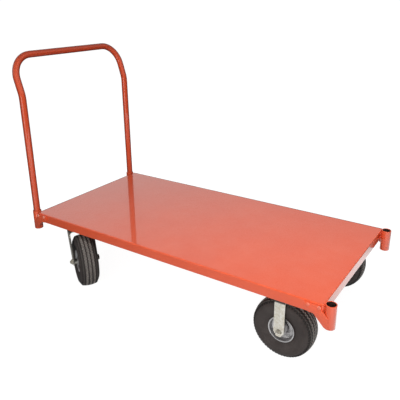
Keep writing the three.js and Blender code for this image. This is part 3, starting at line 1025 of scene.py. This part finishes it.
def gusset_bolts(tool, enamel, bolt_glint):
    """Two round-headed bolts through each gusset, with their nuts behind the deck's edge."""
    heads, head_ways, nuts, nut_ways = [], [], [], []
    for end, side in CORNERS:
        low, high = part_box(f"{end}_{side}_gusset")
        outward = 1 if side == "left" else -1
        face = high.y if side == "left" else low.y
        inner = face - outward * (high.y - low.y + SHEET + 0.4 * MM)
        for along in GUSSET_BOLTS:
            x = DECK_MIDDLE.x + (HALF_LENGTH - along) * (1 if end == "front" else -1)
            z = DECK_HIGH.z - GUSSET_BOLT_DROP
            heads.append((x, face, z))
            head_ways.append((0, outward, 0))
            nuts.append((x, inner, z))
            nut_ways.append((0, -outward, 0))
    bolt_head = dome(GUSSET_BOLT["radius"], GUSSET_BOLT["height"])
    fasteners = (
        # The bolt heads' finish paints a highlight on their upper faces.
        ("gusset_bolt_heads", heads, head_ways, [bolt_head], bolt_glint),
        ("gusset_bolt_nuts", nuts, nut_ways, [hexagon(7 * MM, 5 * MM, 3.4 * MM, 24)], enamel),
    )
    for name, places, ways, shapes, finish in fasteners:
        head = add_object("fastener", shapes)
        spots = points_object(name, places, ways)
        run_tool(spots, tool, Fastener=head, Size=1.0, Finish=finish)
        bpy.data.objects.remove(head)
        fit(spots, "deck", "red_enamel")


def line_mesh(name, lines):
    """Loose lines, each a list of points."""
    points, edges = [], []
    for line in lines:
        start = len(points)
        points += [tuple(point) for point in line]
        edges += [(start + i, start + i + 1) for i in range(len(line) - 1)]
    mesh = bpy.data.meshes.new(name)
    mesh.from_pydata(points, edges, [])
    return link_object(name, mesh)


def deck_welds(tool, enamel):
    """Where the sockets meet the deck's end and the gussets, and stitches along the channels."""
    lines = []
    for end, side in CORNERS:
        toward = 1 if end == "front" else -1
        outward = 1 if side == "left" else -1
        tube = middle(f"{end}_{side}_socket")
        face = DECK_MIDDLE.x + toward * HALF_LENGTH
        for y in (tube.y - 7 * MM, tube.y + 7 * MM):
            lines.append([(face, y, DECK_HIGH.z - 7 * MM), (face, y, DECK_LOW.z + 1 * MM)])
        low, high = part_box(f"{end}_{side}_gusset")
        bar_face = high.y if side == "left" else low.y
        angle = math.acos(min(1.0, (abs(bar_face - tube.y) - 2 * MM) / SOCKET_RADIUS))
        meet = tube.x - toward * SOCKET_RADIUS * math.sin(angle)
        upper = high.z - abs(abs(meet - DECK_MIDDLE.x) - (HALF_LENGTH - GUSSET_BEND))
        y = bar_face - outward * 2 * MM
        lines.append([(meet, y, upper), (meet, y, low.z + 1 * MM)])
    for node in CHANNELS:
        low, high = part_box(node)
        for x in (low.x, high.x):
            for share in (0.06, 0.3, 0.5, 0.7, 0.94):
                y = low.y + (high.y - low.y) * share
                lines.append([(x, y - 14 * MM, high.z), (x, y + 14 * MM, high.z)])
    beads = line_mesh("deck_welds", lines)
    run_tool(beads, tool, Bead_Radius=1.9 * MM, Step=1.7 * MM, Unevenness=0.18, Seed=11, Finish=enamel)
    return fit(beads, "deck", "red_enamel")


# ---------------------------------------------------------------- push handle


def push_handle(enamel):
    """One bent pipe: up from a socket, a kink, two round corners, and down into the other socket."""
    low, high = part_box("push_handle")
    leg_x = middle("rear_left_socket").x
    leg_y = middle("rear_left_socket").y
    top_x = low.x + PIPE
    top_z = high.z - PIPE
    kink = DECK_HIGH.z + HANDLE_KINK
    corners = [
        Vector((leg_x, -leg_y, low.z)), Vector((leg_x, -leg_y, kink)), Vector((top_x, -leg_y, top_z)),
        Vector((top_x, leg_y, top_z)), Vector((leg_x, leg_y, kink)), Vector((leg_x, leg_y, low.z)),
    ]
    radii = [0, HANDLE_KINK_RADIUS, HANDLE_CORNER_RADIUS, HANDLE_CORNER_RADIUS, HANDLE_KINK_RADIUS, 0]
    route = rounded(corners, radii, 14)
    outside = swept(route, PIPE, 40)
    inside = swept(route, PIPE - PIPE_WALL, 40)
    shape = from_rings(outside + inside[::-1], joined=True)
    return fit(add_object("handle_pipe", [shape], enamel), "handle", "red_enamel", "push_handle")


# ---------------------------------------------------------------- wheels, about Y through the origin


def spline(points, steps):
    """A smooth line through the points."""
    ends = [points[0], *points, points[-1]]
    line = []
    for i in range(1, len(points)):
        p0, p1, p2, p3 = (Vector(ends[i + k]) for k in (-1, 0, 1, 2))
        for k in range(steps):
            t = k / steps
            place = 0.5 * (2 * p1 + (p2 - p0) * t + (2 * p0 - 5 * p1 + 4 * p2 - p3) * t * t
                           + (3 * p1 - p0 - 3 * p2 + p3) * t * t * t)
            line.append((place.x, place.y))
    line.append(tuple(points[-1]))
    return line


def in_metres(points):
    return [(r * MM, h * MM) for r, h in points]


def half_and_half(points, segments):
    """A closed profile about Y from its +Y half, whose two ends lie on the middle plane."""
    other = [(r, -h) for r, h in points[-2:0:-1]]
    return moved(turned(points + other, segments), AXIS_TO_Y)


def tread_radius(h):
    return WHEEL - TREAD_DROP * (h / TREAD_SHOULDER) ** 2


def tyre_casing():
    """The tyre without its tread: crown, walls with raised moulding rings, beads and the hollow inside."""
    wall = spline(
        in_metres([(121.8, 0), (121.5, 13), (120.2, 26), (116.6, 35), (110, 41.8), (101, 45.4), (91, 45.3),
                   (80, 43.2), (69, 39.6), (62.6, 36.8), (58.4, 34.2)]), 4)
    raised = []
    for radius, half in wall:
        lift = 0.0
        for ring, width in ((103.5 * MM, 1.6 * MM), (71 * MM, 1.4 * MM)):
            lift += 0.7 * MM * math.exp(-(((radius - ring) / width) ** 2))
        raised.append((radius, min(half + lift, 46.3 * MM)))
    inside = in_metres([(51.4, 33.2), (51.4, 25), (60, 27), (97, 39), (111.5, 27), (116.5, 0)])
    return half_and_half(raised + inside, 120)


def tread_pitch():
    """One pitch of the four ribs, zigzag along their edges, and of the two rows of shoulder lugs."""
    step = 2 * math.pi / TREAD_PITCHES
    shapes = []

    def spot(radius, h, angle):
        return Vector((radius * math.sin(angle), h, radius * math.cos(angle)))

    for low, high in RIB_EDGES:
        rings = []
        for angle, side in ((0, 1), (step / 2, -1), (step, 1)):
            edges = []
            for h in (low * MM, (low + high) / 2 * MM, high * MM):
                zigzag = SHOULDER_ZIGZAG if abs(h) > SHOULDER else RIB_ZIGZAG
                edges.append(h + side * zigzag)
            ring = [spot(tread_radius(h), h, angle) for h in edges]
            for h, lean in ((edges[2], 1), (edges[0], -1)):
                ring.append(spot(tread_radius(h) - TREAD_DEPTH - 1 * MM, h + lean * 0.7 * MM, angle))
            rings.append(ring)
        points = [point for ring in rings for point in ring]
        shapes.append((points, ring_faces(3, 5)))
    for side in (-1, 1):
        section = in_metres([(119.4, 33.6), (121.8, 34.2), (117.2, 37.2), (112.6, 39.8), (113.4, 36.5)])
        rings = [[spot(r, side * h, angle) for r, h in section] for angle in (0.18 * step, 0.78 * step)]
        shapes.append(from_rings(rings))
    return shapes


def mark_rib_edge_highlights(mesh):
    """Gives the tread's points 1 in "tread", and those along the ribs' upper edges more in the mark for their
    scuffing and painted highlight.
    """
    values = []
    for vertex in mesh.vertices:
        aside = abs(vertex.co.y)
        on_top = math.hypot(vertex.co.x, vertex.co.z) > tread_radius(vertex.co.y) - 0.2 * MM
        near = min(abs(abs(edge) * MM - aside) for rib in RIB_EDGES for edge in rib)
        share = 0.7 if aside > SHOULDER - 2 * MM else 1.0
        values.append(share if on_top and near < 1.5 * RIB_ZIGZAG else 0.0)
    mesh.attributes.new("worn", "FLOAT", "POINT").data.foreach_set("value", values)
    mesh.attributes.new("tread", "FLOAT", "POINT").data.foreach_set("value", [1.0] * len(values))


def wheel_tyre(tool, rubber):
    tyre = add_object("tyre", [tyre_casing()], rubber)
    pitch = add_object("pitch", tread_pitch(), rubber)
    mark_rib_edge_highlights(pitch.data)
    run_tool(tyre, tool, Pitch=pitch, Pitches=TREAD_PITCHES, Finish=rubber)
    bpy.data.objects.remove(pitch)
    return take_mesh(tyre)


def take_mesh(piece):
    """Keeps a local part's mesh and drops its object."""
    mesh = piece.data
    bpy.data.objects.remove(piece)
    return mesh


def wheel_rim():
    """A pressed rim with a rolled lip and a stepped dish, welded to its hub."""
    drum_and_lip = [
        (50.3, 0), (50.3, 32.4), (53.2, 34.4), (55.1, 36.6),
        (54.6, 38.4), (52.6, 38.9), (50.4, 37.6), (49, 34),
    ]
    dish = [
        (47.8, 21), (46.4, 18.4), (43.6, 16.2), (32.4, 11.4), (30.4, 12.2), (29, 14.4), (27.4, 15),
        (25.8, 13.8), (24.8, 9), (23.6, 6), (22, 5.4), (21.2, 6.6), (21, 8.4),
    ]
    hub = [(21, 38.8), (20.2, 40), (18.4, 40), (17.5, 39.2), (17.5, 0)]
    return half_and_half(in_metres(drum_and_lip + dish + hub), 96)


def hub_bearing():
    """A sleeve with a shielded ball bearing in each end."""
    profile = [
        (17.2, 0), (17.2, 39), (16.8, 39.8), (15.4, 39.8), (15.0, 38.6),
        (11.2, 38.6), (10.9, 39.8), (8.9, 39.8), (8.3, 39.2), (8.3, 0),
    ]
    return half_and_half(in_metres(profile), 48)


def stem_route(end):
    """Out of the rim, round a bend and away from the axle; end is how far along the last run it goes."""
    start = Vector((66 * MM, 12 * MM))
    bend = Vector((37 * MM, 12 * MM))
    knee = Vector((37 * MM, 33 * MM))
    tip = Vector((46 * MM, 50 * MM))
    corners = [Vector((p.x, p.y, 0)) for p in (start, bend, knee, knee + (tip - knee) * end)]
    return [Vector((p.x, p.y, 0)) for p in rounded(corners, [0, 7 * MM, 7 * MM, 0], 6)]


def tube_and_stem():
    """The inner tube, and its valve stem with a knurled cap."""
    half = [(62, 0), (63, 16), (80, 29.5), (100, 28), (109.5, 14), (111, 0)]
    tube = half_and_half(spline(in_metres(half), 3), 72)
    stem = from_rings(swept(stem_route(0.72), 3.5 * MM, 20))
    route = stem_route(1.0)
    way = (route[-1] - route[-2]).normalized()
    turn = way.to_track_quat("Z", "Y").to_matrix().to_4x4()
    cap_profile = in_metres([(3.3, -7.4), (3.9, -7.2), (3.9, -1.2), (3.3, -0.3), (1.0, 0)])
    cap_rings = []
    for radius, height in cap_profile:
        ring = []
        for k, a in enumerate(turns(28)):
            knurled = radius - 0.25 * MM * (k % 2)
            ring.append(Vector((knurled * math.cos(a), knurled * math.sin(a), height)))
        cap_rings.append(ring)
    cap = moved(from_rings(cap_rings), at(route[-1]) @ turn)
    return [tube, stem, cap]


def axle_spacer(side):
    profile = [
        (8.3, 40.6), (8.9, 40.3), (11.6, 40.3), (12.5, 41.2),
        (12.5, 53.8), (11.6, 54.7), (8.9, 54.7), (8.3, 54.4),
    ]
    return moved(turned([(r, side * h) for r, h in in_metres(profile)], 40), AXIS_TO_Y)


def axle_bolt():
    """Hexagonal head on the left, a thread that shows beyond the nut on the right."""
    on_face = at((0, 0, FORK_FACE))
    head = moved(hexagon(NUT, 7.6 * MM), on_face @ at((0, 0, 0.4 * MM)))
    flange = moved(turned(in_metres([(9, 0), (12.6, 0), (12.6, 0.6), (9, 0.6)]), 40), on_face)
    end = -(FORK_FACE + 14 * MM)
    profile = [(AXLE, FORK_FACE + 1 * MM)]
    height = -(FORK_FACE - 1 * MM)
    profile.append((AXLE, height))
    while height > end + 2.2 * MM:
        profile.append((AXLE - 0.9 * MM, height - 0.6 * MM))
        profile.append((AXLE, height - 1.2 * MM))
        height -= 1.3 * MM
    profile += [(AXLE - 0.4 * MM, end + 1.4 * MM), (AXLE - 1.6 * MM, end)]
    shank = turned(profile, 40, joined=False)
    return [moved(part, AXIS_TO_Y) for part in (head, flange, shank)]


def axle_nut():
    """A hexagonal locking nut with a plain collar."""
    on_face = Matrix.Rotation(math.pi, 4, "X") @ at((0, 0, FORK_FACE))
    body = hexagon(NUT, 7 * MM, AXLE + 0.2 * MM)
    collar = turned(in_metres([(8.1, 6.7), (10.6, 6.7), (10.6, 8.3), (9.8, 9.0), (8.6, 9.0), (8.1, 8.5)]), 40)
    return [moved(part, AXIS_TO_Y @ on_face) for part in (body, collar)]


# ---------------------------------------------------------------- forks and plates


def fork_tail(x):
    axle_height = WHEEL
    half = FORK_WIDTH / 2
    return [
        (x - half, axle_height), (x - FORK_TAIL_WIDTH / 2, axle_height - FORK_TAIL),
        (x + FORK_TAIL_WIDTH / 2, axle_height - FORK_TAIL), (x + half, axle_height),
    ]


def bent_fork(name, crown, side_view, radii, place, material):
    """A bent bar: the end view of a U, cut to its side view."""
    outer = FORK_GAP + FORK_WALL
    foot = WHEEL - 2 * FORK_TAIL
    end_view = rounded_outline(
        [
            (-outer, foot), (-FORK_GAP, foot), (-FORK_GAP, crown - FORK_WALL), (FORK_GAP, crown - FORK_WALL),
            (FORK_GAP, foot), (outer, foot), (outer, crown), (-outer, crown),
        ],
        [0, 0, FORK_BEND - FORK_WALL, FORK_BEND - FORK_WALL, 0, 0, FORK_BEND, FORK_BEND],
        9,
    )
    piece = add_object(name, [prism(end_view, -0.2, 0.2, along_x)], material)
    cut = rounded_outline(side_view, radii, 5)
    combine(piece, prism(cut, -0.1, 0.1, across_y), "INTERSECT")
    ease_edges(piece, 1.1 * MM, material)
    piece.data.transform(place)
    return piece


def rigid_fork(prefix, zinc):
    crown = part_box(f"{prefix}_fork")[1].z
    half = FORK_WIDTH / 2
    side_view = [*fork_tail(0), (half, crown + 1 * MM), (-half, crown + 1 * MM)]
    hub = middle(f"{prefix}_hub_bearing")
    radii = FORK_TAIL_RADII + [0, 0]
    piece = bent_fork(f"{prefix}_bent_fork", crown, side_view, radii, at((hub.x, hub.y, 0)), zinc)
    return fit(piece, "deck", "zinc_steel", f"{prefix}_fork")


def swivel_fork(prefix, zinc):
    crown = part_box(f"{prefix}_fork")[1].z
    half = SWIVEL_CROWN / 2
    side_view = [
        *fork_tail(SWIVEL_TRAIL), (half + 6 * MM, crown - 30 * MM), (half, crown + 1 * MM),
        (-half, crown + 1 * MM), (-half, crown - 22 * MM),
    ]
    pivot = middle(f"{prefix}_kingpin")
    place = at((pivot.x, pivot.y, 0)) @ wheel_turn(prefix)
    radii = FORK_TAIL_RADII + [20 * MM, 0, 0, 12 * MM]
    piece = bent_fork(f"{prefix}_bent_fork", crown, side_view, radii, place, zinc)
    drill(piece, pivot, KINGPIN_HOLE, crown - 0.02, crown + 0.02)
    shade(piece.data, 32)
    paint(piece.data, zinc)
    return fit(piece, f"{prefix}_swivel", "zinc_steel", f"{prefix}_fork")


def wheel_turn(prefix):
    """How far a wheel's axle is turned from Y."""
    axis = joint_axis(f"{prefix}_wheel")
    return Matrix.Rotation(math.atan2(-axis.x, axis.y), 4, "Z")


def caster_plate(prefix, zinc):
    low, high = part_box(f"{prefix}_plate")
    outline = rounded_outline(rectangle(low.x, low.y, high.x, high.y), PLATE_CORNER, 6)
    piece = add_object(f"{prefix}_mounting_plate", [prism(outline, low.z, high.z, upward)], zinc)
    if prefix.startswith("rear"):
        drill(piece, middle(f"{prefix}_kingpin"), KINGPIN_HOLE, low.z - 0.01, high.z + 0.01)
    ease_edges(piece, 0.5 * MM, zinc)
    return fit(piece, "deck", "zinc_steel", f"{prefix}_plate")


def plate_bolts(tool, zinc):
    """Four hexagonal bolt heads under each caster plate."""
    places = []
    for end, side in CORNERS:
        low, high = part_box(f"{end}_{side}_plate")
        for x in (low.x + PLATE_BOLT_INSET, high.x - PLATE_BOLT_INSET):
            for y in (low.y + PLATE_BOLT_INSET, high.y - PLATE_BOLT_INSET):
                places.append((x, y, low.z))
    head = add_object("fastener", [hexagon(PLATE_BOLT["radius"], PLATE_BOLT["height"], 0.0, 24)])
    bolts = points_object("plate_bolts", places, [(0, 0, -1)] * len(places))
    run_tool(bolts, tool, Fastener=head, Size=1.0, Finish=zinc)
    bpy.data.objects.remove(head)
    return fit(bolts, "deck", "zinc_steel")


def swivel_race(prefix, zinc):
    """The two pressed cups of the swivel, with the gap for the balls between them."""
    low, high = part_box(f"{prefix}_race_ring")
    radius = (high.x - low.x) / 2
    z0, z1 = low.z, high.z
    inner = 30 * MM
    profile = rounded_outline(
        [
            (inner, z0), (radius - 2 * MM, z0), (radius, z0 + 2 * MM), (radius, z0 + 8 * MM),
            (radius - 2.5 * MM, z0 + 9 * MM), (radius - 2.5 * MM, z0 + 10.4 * MM), (radius, z0 + 11 * MM),
            (radius - 1 * MM, z0 + 14 * MM), (radius - 6 * MM, z1), (inner, z1),
        ],
        [0.3 * MM, 1 * MM, 1 * MM, 0.6 * MM, 0.3 * MM, 0.3 * MM, 0.4 * MM, 2 * MM, 1 * MM, 0.3 * MM],
        3,
    )
    place = middle(f"{prefix}_race_ring")
    shape = moved(turned(profile, 64), at((place.x, place.y, 0)))
    piece = add_object(f"{prefix}_swivel_race", [shape], zinc)
    return fit(piece, "deck", "zinc_steel", f"{prefix}_race_ring")


def kingpin(prefix, zinc):
    low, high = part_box(f"{prefix}_kingpin")
    place = middle(f"{prefix}_kingpin")
    flip = at((place.x, place.y, low.z + 8 * MM)) @ Matrix.Rotation(math.pi, 4, "X")
    head = moved(hexagon(17 * MM, 8 * MM), flip)
    radius = 9.6 * MM
    profile = [(radius, low.z + 6 * MM), (radius, high.z - 1 * MM), (radius - 0.8 * MM, high.z)]
    pin = turned(profile, 40, joined=False)
    shapes = [head, moved(pin, at((place.x, place.y, 0)))]
    return fit(add_object(f"{prefix}_king_bolt", shapes, zinc), "deck", "zinc_steel", f"{prefix}_kingpin")


def shade_the_head(mesh, shaded_head):
    """Gives the axle bolt's head, outside the fork, a dark copy of the plating: painted shade."""
    mesh.materials.append(shaded_head)
    for face in mesh.polygons:
        if face.center.y > FORK_GAP:
            face.material_index = 1


def wheel_parts(materials, tread):
    """Each wheel piece as a mesh about the origin: {name: (mesh, slot, CAD node's ending)}."""
    parts = {"tyre_cover": (wheel_tyre(tread, materials["rubber"]), "tyre_rubber", "tyre")}
    rows = (
        ("pressed_rim", [wheel_rim()], "rim", "rim_steel", "rim"),
        ("ball_bearing", [hub_bearing()], "rim", "rim_steel", "hub_bearing"),
        ("tube_and_stem", tube_and_stem(), "stem", "tube_rubber", "inner_tube"),
        ("axle_screw", axle_bolt(), "nut", "zinc_steel", "axle_bolt"),
        ("lock_nut", axle_nut(), "nut", "zinc_steel", "axle_nut"),
        ("left_sleeve", [axle_spacer(1)], "zinc", "zinc_steel", "left_spacer"),
        ("right_sleeve", [axle_spacer(-1)], "zinc", "zinc_steel", "right_spacer"),
    )
    for name, shapes, finish, slot, ending in rows:
        mesh = take_mesh(add_object(name, shapes, materials[finish]))
        parts[name] = (mesh, slot, ending)
    shade_the_head(parts["axle_screw"][0], materials["shaded_head"])
    return parts


def keep_distance_from_axle(mesh):
    """Writes each point's distance from the axle on it, for the turned finishes."""
    values = [math.hypot(vertex.co.x, vertex.co.z) for vertex in mesh.vertices]
    attribute = mesh.attributes.new("from_axle", "FLOAT", "POINT")
    attribute.data.foreach_set("value", values)


def add_wheels(parts):
    for mesh, _, _ in parts.values():
        keep_distance_from_axle(mesh)
    for end, side in CORNERS:
        prefix = f"{end}_{side}"
        place = at(middle(f"{prefix}_hub_bearing")) @ wheel_turn(prefix)
        carrier = "deck" if end == "front" else f"{prefix}_swivel"
        for name, (mesh, slot, ending) in parts.items():
            copy = mesh.copy()
            copy.transform(place)
            piece = link_object(f"{prefix}_{name}", copy)
            turns_with_wheel = ending in ("tyre", "rim", "hub_bearing", "inner_tube")
            fit(piece, f"{prefix}_wheel" if turns_with_wheel else carrier, slot, f"{prefix}_{ending}")


# ---------------------------------------------------------------- the cart


def build_cart():
    materials = {
        "enamel": enamel_material("red_enamel", 0.04),
        # A strong pale film on the bolt heads: a painted highlight, a glint on each dome.
        "bolt_glint": enamel_material("chipped_enamel", 1.6),
        # The deck's enamel darkens along its far edges: painted shade.
        "far_edge_shaded": enamel_material("deck_enamel", 0.04, 1.0, far_edge_shade),
        # The handle's enamel is a darker copy of the paint, painted shade, and it darkens further toward the
        # pipe's outline, painted shade as well.
        "shaded_handle": enamel_material("handle_enamel", 0.02, 0.88, lambda tree: turned_away(tree, 1.2)),
        "bare": bare_steel_material(),
        "zinc": zinc_material("zinc_plate", (0.66, 0.61, 0.50), (0.84, 0.83, 0.78)),
        # The nuts get a smaller share of the painted shade on their upward faces.
        "nut": zinc_material("nut_plate", (0.66, 0.60, 0.47), (0.82, 0.80, 0.73), 0.4),
        # A dark copy of the plating for the axle bolt heads: painted shade.
        "shaded_head": zinc_material("oiled_steel", (0.17, 0.15, 0.12), (0.26, 0.25, 0.23)),
        "rim": rim_material(),
        "rubber": rubber_material(),
        "stem": stem_material(),
    }
    enamel = materials["enamel"]
    zinc = materials["zinc"]
    fasteners = bolt_tool()
    deck_sheet(materials["far_edge_shaded"])
    for node in CHANNELS:
        channel(node, enamel)
    for end, side in CORNERS:
        prefix = f"{end}_{side}"
        corner_socket(prefix, enamel, materials["bare"])
        corner_gusset(prefix, enamel)
        caster_plate(prefix, zinc)
        if end == "front":
            rigid_fork(prefix, zinc)
        else:
            swivel_fork(prefix, zinc)
            swivel_race(prefix, zinc)
            kingpin(prefix, zinc)
    gusset_bolts(fasteners, enamel, materials["bolt_glint"])
    plate_bolts(fasteners, zinc)
    deck_welds(weld_tool(), enamel)
    push_handle(materials["shaded_handle"])
    add_wheels(wheel_parts(materials, tread_tool()))


add_camera()
bpy.context.scene.view_settings.view_transform = "Standard"
add_room()
add_lamp("key", (1.0, -0.5, 2.7), 1.2, 20.5, (0.7, -0.2, 0.3), 110)
add_lamp("front", (1.35, -3.6, 0.9), 3.0, 96, (0.3, 0.0, 0.3))
add_floor()
build_cart()
